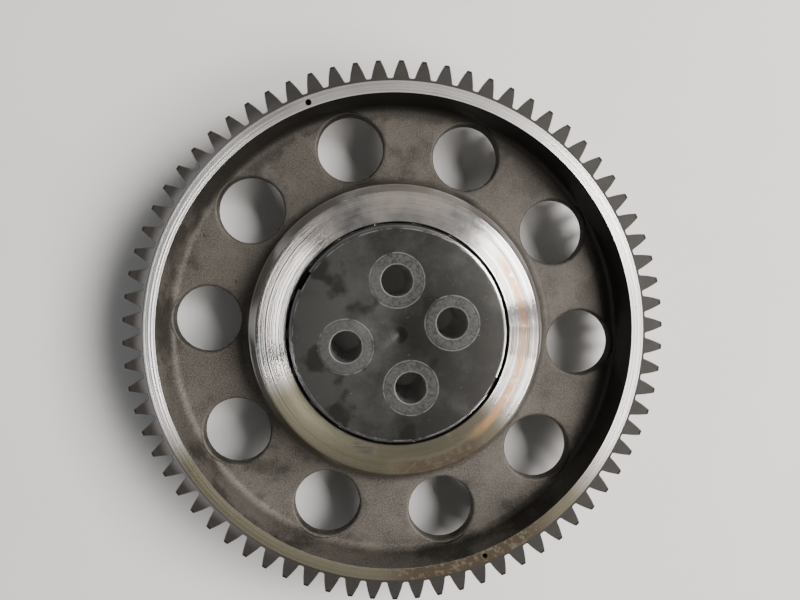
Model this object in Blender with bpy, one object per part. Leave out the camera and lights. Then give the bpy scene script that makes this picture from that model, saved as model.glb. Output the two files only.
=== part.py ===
"""Idler gear running on a double-row roller bearing, lying flat on the rear face of its journal.

The gear turns about +Z. Z = 0 is the rear mounting face of the journal, and the front is at the top.
"""
from math import acos, cos, pi, radians, sin, tan

import bmesh
import bpy
from mathutils import Matrix, Vector

MM = 0.001

# Toothing
MODULE = 4.0 * MM
TEETH = 74
PRESSURE_ANGLE = radians(20.0)
TIP_RADIUS = 152.6 * MM
ROOT_RADIUS = 142.7 * MM
ROOT_FILLET = 1.1 * MM
FLANK_POINTS = 3
FIRST_TOOTH_ANGLE = radians(1.73)

# Gear blank. Its web, hub and raceways share one middle plane, and the rim stands further forward.
MIDDLE_Z = 31.5 * MM
RIM_FRONT_HEIGHT = 25.0 * MM
RIM_REAR_HEIGHT = 15.0 * MM
HUB_WIDTH = 56.0 * MM
WEB_THICKNESS = 9.0 * MM
RIM_INNER_RADIUS = 134.3 * MM
RIM_FACE_RADIUS = 141.2 * MM
TOOTH_FACE_STEP = 0.5 * MM
HUB_RADIUS = 79.4 * MM
EDGE_CHAMFER = 0.6 * MM
LIGHTENING_HOLES = 10
LIGHTENING_CIRCLE_RADIUS = 110.3 * MM
LIGHTENING_HOLE_RADIUS = 19.3 * MM
FIRST_LIGHTENING_ANGLE = radians(32.1)
PULLER_HOLE_RADIUS = 1.5 * MM
PULLER_HOLE_DEPTH = 8.0 * MM
PULLER_CIRCLE_RADIUS = 137.6 * MM
PULLER_ANGLES = (radians(111.2), radians(291.2))

# Bearing: two rows of rollers between the gear's bore and two inner rings
OUTER_RACE_RADIUS = 68.0 * MM
INNER_RACE_RADIUS = 54.0 * MM
PITCH_RADIUS = 0.5 * (OUTER_RACE_RADIUS + INNER_RACE_RADIUS)
OUTER_LIP_RADIUS = 62.5 * MM
OUTER_LIP_WIDTH = 4.5 * MM
CENTRE_LIP_WIDTH = 4.0 * MM
ROLLERS_PER_ROW = 18
ROLLER_CLEARANCE = 0.2 * MM
ROLLER_RADIUS = 0.5 * (OUTER_RACE_RADIUS - INNER_RACE_RADIUS) - ROLLER_CLEARANCE
ROLLER_SIDES = 16
RIB_RADIUS = 61.0 * MM
RIB_WIDTH = 2.5 * MM
RING_BORE_RADIUS = 46.0 * MM
RING_NOTCH_ANGLES = (radians(150.3), radians(330.3))
RING_NOTCH_WIDTH = 11.2 * MM
RING_NOTCH_FLOOR_RADIUS = 56.5 * MM
CAGE_INNER_RADIUS = 57.0 * MM
CAGE_OUTER_RADIUS = 62.0 * MM
CAGE_RIM = 1.65 * MM
CAGE_BAR_HALF_ANGLE = radians(3.3)

# Journal: a front and a rear half that clamp the inner rings
DISC_RADIUS = 58.85 * MM
DISC_TOP_Z = 66.5 * MM
DISC_CHAMFER = 0.8 * MM
PARTING_Z = 33.5 * MM
DIMPLE_RADIUS = 4.4 * MM
DIMPLE_DEPTH = 2.6 * MM
BOLT_CIRCLE_RADIUS = 30.0 * MM
BOLT_HOLE_RADIUS = 8.75 * MM
BOLT_ANGLES = (radians(12.3), radians(92.3), radians(192.3), radians(282.3))

GAP = 0.3 * MM
ROUND_SEGMENTS = 60

HUB_REAR_Z = MIDDLE_Z - HUB_WIDTH / 2
HUB_FRONT_Z = MIDDLE_Z + HUB_WIDTH / 2
CHANNEL_INNER_END = CENTRE_LIP_WIDTH / 2
CHANNEL_OUTER_END = HUB_WIDTH / 2 - OUTER_LIP_WIDTH


def clear_scene():
    for old in list(bpy.data.objects):
        bpy.data.objects.remove(old, do_unlink=True)


def make_material(name, colour, roughness, metallic):
    material = bpy.data.materials.new(name)
    material.use_nodes = True
    shader = material.node_tree.nodes["Principled BSDF"]
    shader.inputs["Base Color"].default_value = (*colour, 1.0)
    shader.inputs["Roughness"].default_value = roughness
    shader.inputs["Metallic"].default_value = metallic
    return material


def finish_mesh(bm, name, material):
    """Turn a bmesh into mesh data with outward faces and crisp edges."""
    bmesh.ops.recalc_face_normals(bm, faces=bm.faces)
    mesh = bpy.data.meshes.new(name)
    bm.to_mesh(mesh)
    bm.free()
    mesh.materials.append(material)
    mesh.shade_smooth()
    mesh.set_sharp_from_angle(angle=radians(30.0))
    return mesh


def place(name, mesh, location=(0.0, 0.0, 0.0), parent=None):
    obj = bpy.data.objects.new(name, mesh)
    bpy.context.scene.collection.objects.link(obj)
    obj.location = location
    obj.parent = parent
    return obj


def polar(radius, angle, z):
    return Vector((radius * cos(angle), radius * sin(angle), z))


def turned(profile, segments, closed):
    """Revolve (radius, z) points about Z. An open profile starts and ends on the axis."""
    bm = bmesh.new()
    rings = []
    for radius, z in profile:
        if radius == 0.0:
            rings.append([bm.verts.new((0.0, 0.0, z))])
        else:
            rings.append([bm.verts.new(polar(radius, 2 * pi * i / segments, z)) for i in range(segments)])
    pairs = list(zip(rings, rings[1:]))
    if closed:
        pairs.append((rings[-1], rings[0]))
    for lower, upper in pairs:
        for i in range(segments):
            j = (i + 1) % segments
            corners = [lower[i % len(lower)], lower[j % len(lower)],
                       upper[j % len(upper)], upper[i % len(upper)]]
            bm.faces.new(list(dict.fromkeys(corners)))
    return bm


def drill(target, name, places, radius, z_low, z_high, sides):
    """Cut upright round holes at the given (x, y) places."""
    bm = bmesh.new()
    for x, y in places:
        hole = bmesh.ops.create_cone(bm, cap_ends=True, segments=sides, radius1=radius, radius2=radius,
                                     depth=z_high - z_low)
        bmesh.ops.translate(bm, verts=hole["verts"], vec=(x, y, (z_low + z_high) / 2))
    cut_away(target, name, bm)


def cut_away(target, name, bm):
    bmesh.ops.recalc_face_normals(bm, faces=bm.faces)
    mesh = bpy.data.meshes.new(name)
    bm.to_mesh(mesh)
    bm.free()
    cutter = place(name, mesh)
    cutter.hide_render = True
    cutter.display_type = "WIRE"
    cut = target.modifiers.new(name, "BOOLEAN")
    cut.operation = "DIFFERENCE"
    cut.solver = "EXACT"
    cut.object = cutter


def on_circle(radius, angles):
    return [(radius * cos(a), radius * sin(a)) for a in angles]


def involute(angle):
    return tan(angle) - angle


def tooth_half_angle(radius):
    """Half the angle that one involute tooth fills at a radius."""
    pitch_radius = MODULE * TEETH / 2
    base_radius = pitch_radius * cos(PRESSURE_ANGLE)
    at_pitch = pi / (2 * TEETH)
    return at_pitch + involute(PRESSURE_ANGLE) - involute(acos(base_radius / radius))


def tooth_outline():
    """(radius, angle) points of one tooth, from the middle of one gap to just before the next."""
    foot = ROOT_RADIUS + ROOT_FILLET
    rise = (TIP_RADIUS - foot) / (FLANK_POINTS - 1)
    flank = [(foot + rise * i, tooth_half_angle(foot + rise * i)) for i in range(FLANK_POINTS)]
    root = (ROOT_RADIUS, tooth_half_angle(foot) + 0.7 * ROOT_FILLET / ROOT_RADIUS)
    rising = [(radius, -angle) for radius, angle in [root] + flank]
    falling = [(radius, -angle) for radius, angle in reversed(rising)]
    return [(ROOT_RADIUS, -pi / TEETH)] + rising + falling


def blank_half_profile(rim):
    """(radius, height from the middle plane) from the edge of a rim face inwards to the raceway."""
    hub = HUB_WIDTH / 2
    web = WEB_THICKNESS / 2
    return [
        (RIM_FACE_RADIUS + 0.3 * MM, rim - TOOTH_FACE_STEP),
        (RIM_FACE_RADIUS, rim),
        (RIM_INNER_RADIUS, rim),
        (RIM_INNER_RADIUS - 1.6 * MM, web + 5.0 * MM),
        (RIM_INNER_RADIUS - 3.0 * MM, web + 1.6 * MM),
        (RIM_INNER_RADIUS - 6.5 * MM, web),
        (HUB_RADIUS + 12.5 * MM, web),
        (HUB_RADIUS + 8.0 * MM, web + 1.6 * MM),
        (HUB_RADIUS + 5.0 * MM, web + 6.0 * MM),
        (HUB_RADIUS, hub),
        (OUTER_LIP_RADIUS, hub),
        (OUTER_LIP_RADIUS, CHANNEL_OUTER_END),
        (OUTER_RACE_RADIUS, CHANNEL_OUTER_END),
        (OUTER_RACE_RADIUS, CHANNEL_INNER_END),
        (OUTER_LIP_RADIUS, CHANNEL_INNER_END),
    ]


def gear_wheel(material):
    """Toothed wheel: one solid of teeth, rim, web and hub, with the outer raceways in its bore."""
    front_half = blank_half_profile(RIM_FRONT_HEIGHT)
    rear_half = [(radius, -height) for radius, height in blank_half_profile(RIM_REAR_HEIGHT)]
    profile = front_half + rear_half[::-1]
    outline = tooth_outline()
    bm = bmesh.new()
    starts = [FIRST_TOOTH_ANGLE + 2 * pi * k / TEETH for k in range(TEETH)]
    rings = []
    for radius, height in profile:
        rings.append([bm.verts.new(polar(radius, a - pi / TEETH, MIDDLE_Z + height)) for a in starts])
    tooth_edges = []
    for height in (profile[0][1], profile[-1][1]):
        edge = []
        for start in starts:
            edge.append([bm.verts.new(polar(r, start + a, MIDDLE_Z + height)) for r, a in outline])
        tooth_edges.append(edge)
    for inner, outer in zip(rings, rings[1:]):
        for k in range(TEETH):
            n = (k + 1) % TEETH
            bm.faces.new((inner[k], inner[n], outer[n], outer[k]))
    for k in range(TEETH):
        n = (k + 1) % TEETH
        for ring, edge in zip((rings[0], rings[-1]), tooth_edges):
            bm.faces.new([ring[k]] + edge[k] + [edge[n][0], ring[n]])
        front = tooth_edges[0][k] + [tooth_edges[0][n][0]]
        rear = tooth_edges[1][k] + [tooth_edges[1][n][0]]
        for i in range(len(front) - 1):
            bm.faces.new((front[i], front[i + 1], rear[i + 1], rear[i]))
    wheel = place("gear_wheel", finish_mesh(bm, "gear_wheel", material))

    angles = [FIRST_LIGHTENING_ANGLE + 2 * pi * k / LIGHTENING_HOLES for k in range(LIGHTENING_HOLES)]
    drill(wheel, "lightening_cutter", on_circle(LIGHTENING_CIRCLE_RADIUS, angles), LIGHTENING_HOLE_RADIUS,
          MIDDLE_Z - 2 * WEB_THICKNESS, MIDDLE_Z + 2 * WEB_THICKNESS, 28)
    rim_z = MIDDLE_Z + RIM_FRONT_HEIGHT
    drill(wheel, "puller_cutter", on_circle(PULLER_CIRCLE_RADIUS, PULLER_ANGLES), PULLER_HOLE_RADIUS,
          rim_z - PULLER_HOLE_DEPTH, rim_z + PULLER_HOLE_DEPTH, 12)
    return wheel


def inner_ring(name, material, side):
    """Inner ring of one row, its notched rib at the outer end. side is +1 in front and -1 behind."""
    heights = [GAP / 2, HUB_WIDTH / 2 - RIB_WIDTH, HUB_WIDTH / 2]
    near, rib, end = [MIDDLE_Z + side * h for h in heights]
    chamfer = side * EDGE_CHAMFER
    profile = [
        (RING_BORE_RADIUS, near),
        (INNER_RACE_RADIUS, near),
        (INNER_RACE_RADIUS, rib),
        (RIB_RADIUS, rib),
        (RIB_RADIUS, end - chamfer / 2),
        (RIB_RADIUS - EDGE_CHAMFER / 2, end),
        (RING_BORE_RADIUS + EDGE_CHAMFER, end),
        (RING_BORE_RADIUS, end - chamfer),
    ]
    ring = place(name, finish_mesh(turned(profile, ROUND_SEGMENTS, True), name, material))
    bm = bmesh.new()
    reach = 2 * (RIB_RADIUS - RING_NOTCH_FLOOR_RADIUS)
    for angle in RING_NOTCH_ANGLES:
        notch = bmesh.ops.create_cube(bm, size=1.0)["verts"]
        bmesh.ops.scale(bm, verts=notch, vec=(reach, RING_NOTCH_WIDTH, 4 * RIB_WIDTH))
        bmesh.ops.translate(bm, verts=notch, vec=(RING_NOTCH_FLOOR_RADIUS + reach / 2, 0.0, end))
        bmesh.ops.rotate(bm, verts=notch, cent=(0.0, 0.0, 0.0), matrix=Matrix.Rotation(angle, 3, "Z"))
    cut_away(ring, name + "_notch_cutter", bm)
    return ring


def cage(name, material, side):
    """Ladder-like cage ring: two side rims joined by one bar between each two rollers."""
    levels = [CHANNEL_INNER_END - GAP / 3 - CAGE_RIM, CHANNEL_INNER_END - GAP / 3,
              CHANNEL_OUTER_END + GAP / 3, CHANNEL_OUTER_END + GAP / 3 + CAGE_RIM]
    heights = [MIDDLE_Z + side * level for level in levels]
    step = 2 * pi / ROLLERS_PER_ROW
    window = step - 2 * CAGE_BAR_HALF_ANGLE
    bm = bmesh.new()
    columns = []
    for k in range(ROLLERS_PER_ROW):
        first = (k + 0.5) * step - CAGE_BAR_HALF_ANGLE
        offsets = [0.0, 2 * CAGE_BAR_HALF_ANGLE, 2 * CAGE_BAR_HALF_ANGLE + window / 2]
        for index, offset in enumerate(offsets):
            column = {"bar": index == 0}
            for label, radius in (("in", CAGE_INNER_RADIUS), ("out", CAGE_OUTER_RADIUS)):
                column[label] = [bm.verts.new(polar(radius, first + offset, z)) for z in heights]
            columns.append(column)
    count = len(columns)
    for i, here in enumerate(columns):
        after = columns[(i + 1) % count]
        before = columns[i - 1]
        for band in range(3):
            solid = band != 1 or here["bar"]
            if solid:
                for label in ("in", "out"):
                    bm.faces.new((here[label][band], after[label][band],
                                  after[label][band + 1], here[label][band + 1]))
        if here["bar"] != before["bar"]:
            bm.faces.new((here["in"][1], here["in"][2], here["out"][2], here["out"][1]))
        capped = [0, 3] if here["bar"] else [0, 1, 2, 3]
        for level in capped:
            bm.faces.new((here["in"][level], after["in"][level], after["out"][level], here["out"][level]))
    return place(name, finish_mesh(bm, name, material))


def roller_mesh(material):
    length = CHANNEL_OUTER_END - CHANNEL_INNER_END - 2 * ROLLER_CLEARANCE
    end = length / 2
    profile = [(0.0, -end), (ROLLER_RADIUS, -end), (ROLLER_RADIUS, end), (0.0, end)]
    return finish_mesh(turned(profile, ROLLER_SIDES, False), "roller", material)


def roller_row(prefix, mesh, side, parent):
    middle = MIDDLE_Z + side * 0.5 * (CHANNEL_INNER_END + CHANNEL_OUTER_END)
    for k in range(ROLLERS_PER_ROW):
        angle = 2 * pi * k / ROLLERS_PER_ROW
        place(f"{prefix}_{k + 1:02d}", mesh, polar(PITCH_RADIUS, angle, middle), parent)


def journal_front(material):
    """Front half of the journal: a flat disc over the front inner ring, on a spigot in its bore."""
    under_disc = HUB_FRONT_Z + GAP
    spigot = RING_BORE_RADIUS - GAP
    profile = [
        (0.0, DISC_TOP_Z - DIMPLE_DEPTH),
        (DIMPLE_RADIUS, DISC_TOP_Z),
        (DISC_RADIUS - DISC_CHAMFER, DISC_TOP_Z),
        (DISC_RADIUS, DISC_TOP_Z - DISC_CHAMFER),
        (DISC_RADIUS, under_disc),
        (spigot, under_disc),
        (spigot, PARTING_Z + GAP / 2),
        (0.0, PARTING_Z + GAP / 2),
    ]
    bm = turned(profile, ROUND_SEGMENTS, False)
    half = place("journal_front", finish_mesh(bm, "journal_front", material))
    drill(half, "front_bolt_cutter", on_circle(BOLT_CIRCLE_RADIUS, BOLT_ANGLES), BOLT_HOLE_RADIUS,
          PARTING_Z - DISC_CHAMFER, DISC_TOP_Z + DISC_CHAMFER, 32)
    return half


def journal_rear(material):
    """Rear half of the journal: the mounting flange under the rear inner ring, on its spigot."""
    flange_top = HUB_REAR_Z - GAP
    spigot = RING_BORE_RADIUS - GAP
    profile = [
        (0.0, PARTING_Z - GAP / 2),
        (spigot, PARTING_Z - GAP / 2),
        (spigot, flange_top),
        (DISC_RADIUS, flange_top),
        (DISC_RADIUS, DISC_CHAMFER),
        (DISC_RADIUS - DISC_CHAMFER, 0.0),
        (0.0, 0.0),
    ]
    bm = turned(profile, ROUND_SEGMENTS, False)
    half = place("journal_rear", finish_mesh(bm, "journal_rear", material))
    drill(half, "rear_bolt_cutter", on_circle(BOLT_CIRCLE_RADIUS, BOLT_ANGLES), BOLT_HOLE_RADIUS,
          -DISC_CHAMFER, PARTING_Z + DISC_CHAMFER, 32)
    return half


clear_scene()
forged_steel = make_material("forged_steel", (0.19, 0.17, 0.16), 0.55, 0.8)
dark_steel = make_material("dark_steel", (0.085, 0.085, 0.08), 0.5, 0.6)
bearing_steel = make_material("bearing_steel", (0.62, 0.61, 0.58), 0.22, 1.0)
cage_steel = make_material("cage_steel", (0.42, 0.40, 0.36), 0.4, 1.0)

gear_wheel(forged_steel)
journal_front(dark_steel)
journal_rear(dark_steel)
inner_ring("inner_ring_front", bearing_steel, 1)
inner_ring("inner_ring_rear", bearing_steel, -1)
shared_roller = roller_mesh(bearing_steel)
front_cage = cage("cage_front", cage_steel, 1)
rear_cage = cage("cage_rear", cage_steel, -1)
roller_row("roller_front", shared_roller, 1, front_cage)
roller_row("roller_rear", shared_roller, -1, rear_cage)
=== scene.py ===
"""Looks of an idler gear that turns on a double-row roller bearing round a bolted journal.

Lengths are in metres. The gear lies on the rear face of its journal, with its front at the top.
"""
from math import acos, atan2, cos, pi, radians, sin, tan

import bmesh
import bpy
from mathutils import Matrix, Vector


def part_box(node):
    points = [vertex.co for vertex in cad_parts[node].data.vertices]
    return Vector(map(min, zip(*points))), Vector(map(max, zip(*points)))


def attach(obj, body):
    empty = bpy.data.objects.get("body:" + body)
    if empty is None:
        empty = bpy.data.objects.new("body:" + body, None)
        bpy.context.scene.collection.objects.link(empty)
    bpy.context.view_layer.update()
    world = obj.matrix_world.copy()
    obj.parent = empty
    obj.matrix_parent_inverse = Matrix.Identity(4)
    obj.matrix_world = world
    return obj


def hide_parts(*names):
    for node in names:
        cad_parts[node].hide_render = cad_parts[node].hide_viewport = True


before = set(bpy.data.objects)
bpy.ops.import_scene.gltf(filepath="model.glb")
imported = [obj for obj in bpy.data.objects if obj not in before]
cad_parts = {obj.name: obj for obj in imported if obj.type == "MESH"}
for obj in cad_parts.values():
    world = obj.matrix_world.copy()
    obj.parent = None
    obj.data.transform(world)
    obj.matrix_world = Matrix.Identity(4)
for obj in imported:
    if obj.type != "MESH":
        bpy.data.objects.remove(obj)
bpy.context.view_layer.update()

MM = 0.001

# ---- Camera -------------------------------------------------------------------------------------
# It looks almost straight down on the front of the gear from little more than one gear diameter
# away, so that near and far edges spread apart.

camera_place = Vector((-22.8, 32.5, 445.4)) * MM
camera_aim = Vector((2.5, 18.0, 31.5)) * MM
lens_length = 31.2

camera_data = bpy.data.cameras.new("camera")
camera_data.lens = lens_length
camera_data.clip_start = 10 * MM
camera = bpy.data.objects.new("camera", camera_data)
bpy.context.scene.collection.objects.link(camera)
backward = (camera_place - camera_aim).normalized()
rightward = Vector((0.0, 1.0, 0.0)).cross(backward).normalized()
upward = backward.cross(rightward)
camera_turn = Matrix((rightward, upward, backward)).transposed().to_4x4()
camera.matrix_world = Matrix.Translation(camera_place) @ camera_turn
bpy.context.scene.camera = camera

# ---- Light --------------------------------------------------------------------------------------
# Two soft windows stand high on the right with a narrow gap between them, a dim low one stands
# opposite, and a pale room fills the rest.


def window(name, azimuth, elevation, distance, width, height, power, colour):
    """A rectangular soft light that faces the gear."""
    data = bpy.data.lights.new(name, "AREA")
    data.shape = "RECTANGLE"
    data.size = width
    data.size_y = height
    data.energy = power
    data.color = colour
    light = bpy.data.objects.new(name, data)
    bpy.context.scene.collection.objects.link(light)
    away = Vector((cos(azimuth) * cos(elevation), sin(azimuth) * cos(elevation), sin(elevation)))
    light.location = away * distance
    light.rotation_euler = away.to_track_quat("Z", "Y").to_euler()


window("upper_right_window", azimuth=radians(23), elevation=radians(50), distance=2.2,
       width=0.80, height=0.95, power=74.0, colour=(1.0, 0.96, 0.94))
window("lower_right_window", azimuth=radians(-24), elevation=radians(48), distance=2.2,
       width=1.05, height=0.95, power=44.0, colour=(1.0, 0.94, 0.91))
window("left_window", azimuth=radians(200), elevation=radians(22), distance=2.4,
       width=0.9, height=0.6, power=7.0, colour=(0.94, 0.97, 1.0))

world = bpy.data.worlds.new("pale_room")
world.use_nodes = True
room = world.node_tree.nodes["Background"]
room.inputs["Color"].default_value = (0.86, 0.88, 0.9, 1.0)
room.inputs["Strength"].default_value = 0.13
bpy.context.scene.world = world

# ---- Floor --------------------------------------------------------------------------------------
# A plain pale floor with a faint mottle. The shader arithmetic that every finish uses starts here.


class Signal:
    """One output of a shader node. Arithmetic on it adds Math nodes."""

    def __init__(self, finish, socket):
        self.finish = finish
        self.socket = socket

    def math(self, operation, first, second=0.0):
        return self.finish.node("ShaderNodeMath", {"operation": operation}, {0: first, 1: second})

    def __add__(self, other):
        return self.math("ADD", self, other)

    def __radd__(self, other):
        return self.math("ADD", other, self)

    def __sub__(self, other):
        return self.math("SUBTRACT", self, other)

    def __rsub__(self, other):
        return self.math("SUBTRACT", other, self)

    def __mul__(self, other):
        return self.math("MULTIPLY", self, other)

    def __rmul__(self, other):
        return self.math("MULTIPLY", other, self)

    def __truediv__(self, other):
        return self.math("DIVIDE", self, other)

    def __abs__(self):
        return self.math("ABSOLUTE", self)


class Finish:
    """A material with one Principled shader. Constants go straight to the shader's own sockets."""

    def __init__(self, name, **constants):
        self.material = bpy.data.materials.new(name)
        self.material.use_nodes = True
        self.tree = self.material.node_tree
        self.shader = self.tree.nodes["Principled BSDF"]
        for socket, value in constants.items():
            self.shader.inputs[socket.replace("_", " ").title()].default_value = value

    def node(self, kind, settings=None, inputs=None, output=0):
        """Add a node: its settings first, then the values or links of its sockets."""
        node = self.tree.nodes.new(kind)
        for name, value in (settings or {}).items():
            setattr(node, name, value)
        for name, value in (inputs or {}).items():
            if isinstance(value, Signal):
                self.tree.links.new(value.socket, node.inputs[name])
            elif isinstance(value, tuple) and node.inputs[name].type == "RGBA":
                node.inputs[name].default_value = (*value, 1.0)
            else:
                node.inputs[name].default_value = value
        return Signal(self, node.outputs[output])

    def feed(self, socket, signal):
        self.tree.links.new(signal.socket, self.shader.inputs[socket])

    def place(self):
        return self.node("ShaderNodeTexCoord", output="Object")

    def coordinate(self, axis):
        """Distance along X, Y or Z, which are axes 0, 1 and 2."""
        return self.node("ShaderNodeSeparateXYZ", None, {0: self.place()}, output=axis)

    def scaled(self, *factors):
        """The place with its X, Y and Z multiplied. A small factor draws noise out that way."""
        return self.node("ShaderNodeVectorMath", {"operation": "MULTIPLY"}, {0: self.place(), 1: factors})

    def outward(self):
        """Direction straight away from the Z axis."""
        flat = self.scaled(1.0, 1.0, 0.0)
        return self.node("ShaderNodeVectorMath", {"operation": "NORMALIZE"}, {0: flat})

    def radius(self):
        """Distance from the Z axis."""
        flat = self.scaled(1.0, 1.0, 0.0)
        return self.node("ShaderNodeVectorMath", {"operation": "LENGTH"}, {0: flat}, output=1)

    def rings(self, radius, pitch, detail):
        """Noise that varies with the radius alone, in rings about one pitch wide."""
        return self.node("ShaderNodeTexNoise", {"noise_dimensions": "1D"},
                         {"W": radius / pitch, "Scale": 1.0, "Detail": detail})

    def noise(self, size, detail=3.0, rough=0.5, at=None):
        """Noise from 0 to 1 whose lumps are about one size across."""
        return self.node("ShaderNodeTexNoise", None, {
            "Vector": at or self.place(), "Scale": 1.0 / size, "Detail": detail, "Roughness": rough})

    def ramp(self, signal, low, high):
        """0 below low and 1 above high, with a smooth rise between them."""
        return self.node("ShaderNodeMapRange", {"interpolation_type": "SMOOTHSTEP"}, {
            "Value": signal, "From Min": low, "From Max": high})

    def mix(self, amount, base, over):
        """Colour base where amount is 0 and colour over where it is 1."""
        return self.node("ShaderNodeMix", {"data_type": "RGBA"}, {0: amount, 6: base, 7: over}, output=2)

    def bump(self, height, depth, normal=None):
        """Normal of a relief whose height signal of 1 stands depth metres proud."""
        inputs = {"Strength": 1.0, "Distance": depth, "Height": height}
        if normal:
            inputs["Normal"] = normal
        return self.node("ShaderNodeBump", None, inputs)


def floor_finish():
    finish = Finish("pale_floor", roughness=0.7)
    mottle = finish.noise(90 * MM, detail=4.0)
    grain = finish.noise(1.4 * MM, detail=2.0)
    finish.feed("Base Color", finish.mix(mottle, (0.70, 0.70, 0.68), (0.76, 0.76, 0.745)))
    finish.feed("Normal", finish.bump(grain, 0.05 * MM))
    return finish.material


floor_reach = 3.0
floor_mesh = bpy.data.meshes.new("floor")
floor_signs = ((-1, -1), (1, -1), (1, 1), (-1, 1))
floor_corners = [(x * floor_reach, y * floor_reach, 0.0) for x, y in floor_signs]
floor_mesh.from_pydata(floor_corners, [], [(0, 1, 2, 3)])
floor_mesh.materials.append(floor_finish())
floor = bpy.data.objects.new("floor", floor_mesh)
bpy.context.scene.collection.objects.link(floor)

# ---- Gear wheel ---------------------------------------------------------------------------------
# One forging of alloy steel: toothed rim, thin blasted web with ten holes, and a thick hub. The rim
# and hub faces are turned bright on a lathe, the teeth are hobbed, hardened and ground on their
# flanks, and the bearing's outer raceways are ground straight into the bore.

gear_low, gear_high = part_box("gear_wheel")
middle_z = (gear_low.z + gear_high.z) / 2
half_hub = (gear_high.z - gear_low.z) / 2
rim_front = 25.0 * MM
rim_rear = -15.0 * MM
rim_step = 0.5 * MM
rim_ring_radius = 141.2 * MM
half_web = 4.5 * MM
bore_lip_radius = 62.5 * MM
raceway_radius = 68.0 * MM
raceway_inner_end = 2.0 * MM
raceway_outer_end = 23.5 * MM

teeth = 74
first_tooth_angle = radians(1.73)
module = 4.0 * MM
pressure_angle = radians(20)
tip_radius = 152.6 * MM
root_radius = 142.7 * MM
flank_foot_radius = 144.0 * MM
end_break = 0.35 * MM
tip_round = 0.35 * MM
seam_radius = 141.35 * MM
seam_steps = 5
seam_weld = 0.002 * MM
flank_points = 9

GROUND, TOOTH_END, TURNED, FORGED, RACE = range(5)


def involute(angle):
    return tan(angle) - angle


def tooth_half_angle(radius):
    """Half the angle that an involute tooth fills at a radius."""
    pitch_radius = module * teeth / 2
    at_pitch = pi / (2 * teeth)
    contact = acos(pitch_radius * cos(pressure_angle) / radius)
    return at_pitch + involute(pressure_angle) - involute(contact)


def arc_between(start, corner, end, steps):
    """Points of a smooth bend from start to end that heads for corner and turns there."""
    points = []
    for i in range(steps + 1):
        t = i / steps
        points.append(start * (1 - t) ** 2 + corner * 2 * t * (1 - t) + end * t ** 2)
    return points


def tooth_outline():
    """Flat points of one tooth about +X, from the middle of one gap to the middle of the next."""
    upper_radius = tip_radius - tip_round
    step = (upper_radius - flank_foot_radius) / (flank_points - 1)
    flank = []
    for i in range(flank_points):
        radius = flank_foot_radius + step * i
        angle = tooth_half_angle(radius)
        flank.append(Vector((radius * cos(angle), radius * sin(angle))))
    foot_angle = tooth_half_angle(flank_foot_radius)
    bend_angle = foot_angle + 0.2 * MM / root_radius
    land_angle = foot_angle + 1.0 * MM / root_radius
    root_corner = Vector((cos(bend_angle), sin(bend_angle))) * (root_radius + 0.1 * MM)
    root_land = Vector((cos(land_angle), sin(land_angle))) * root_radius
    gap_middle = Vector((cos(pi / teeth), sin(pi / teeth))) * root_radius
    root = arc_between(root_land, root_corner, flank[0], 5)[:-1]
    tip_angle = tooth_half_angle(tip_radius)
    tip_corner = Vector((cos(tip_angle), sin(tip_angle))) * tip_radius
    inner_tip_angle = tip_angle - tip_round / tip_radius
    tip_end = Vector((cos(inner_tip_angle), sin(inner_tip_angle))) * tip_radius
    tip = arc_between(flank[-1], tip_corner, tip_end, 3)[1:]
    crown = Vector((tip_radius, 0.0))
    upper = [gap_middle] + root + flank + tip
    lower = [Vector((p.x, -p.y)) for p in upper]
    return lower + [crown] + upper[::-1]


def inset(outline, amount):
    """The outline moved inwards, into the tooth. Its ends move straight towards the axis."""
    moved = []
    for i, point in enumerate(outline):
        if i in (0, len(outline) - 1):
            moved.append(point - point.normalized() * amount)
            continue
        along = (outline[i + 1] - outline[i - 1]).normalized()
        moved.append(point + Vector((-along.y, along.x)) * amount)
    return moved


def tooth_sector():
    """Open strip of one tooth and its share of both rim ends, marked where it is an end face."""
    outline = tooth_outline()
    broken = inset(outline, end_break)
    front, rear = rim_front - rim_step, rim_rear + rim_step
    levels = [(broken, front), (outline, front - end_break), (outline, rear + end_break), (broken, rear)]
    bm = bmesh.new()
    end_mark = bm.faces.layers.bool.new("end_face")
    rows = [[bm.verts.new((p.x, p.y, middle_z + height)) for p in points] for points, height in levels]
    for upper, lower in zip(rows, rows[1:]):
        for i in range(len(outline) - 1):
            bm.faces.new((upper[i], lower[i], lower[i + 1], upper[i + 1]))
    for row, height in ((rows[0], front), (rows[-1], rear)):
        seam = []
        for k in range(seam_steps + 1):
            angle = (2 * k / seam_steps - 1) * pi / teeth
            x, y = seam_radius * cos(angle), seam_radius * sin(angle)
            seam.append(bm.verts.new((x, y, middle_z + height)))
        face = bm.faces.new(seam + row[::-1])
        if height == front:
            face.normal_flip()
        face[end_mark] = True
    mesh = bpy.data.meshes.new("tooth")
    bm.to_mesh(mesh)
    bm.free()
    return mesh


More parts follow.
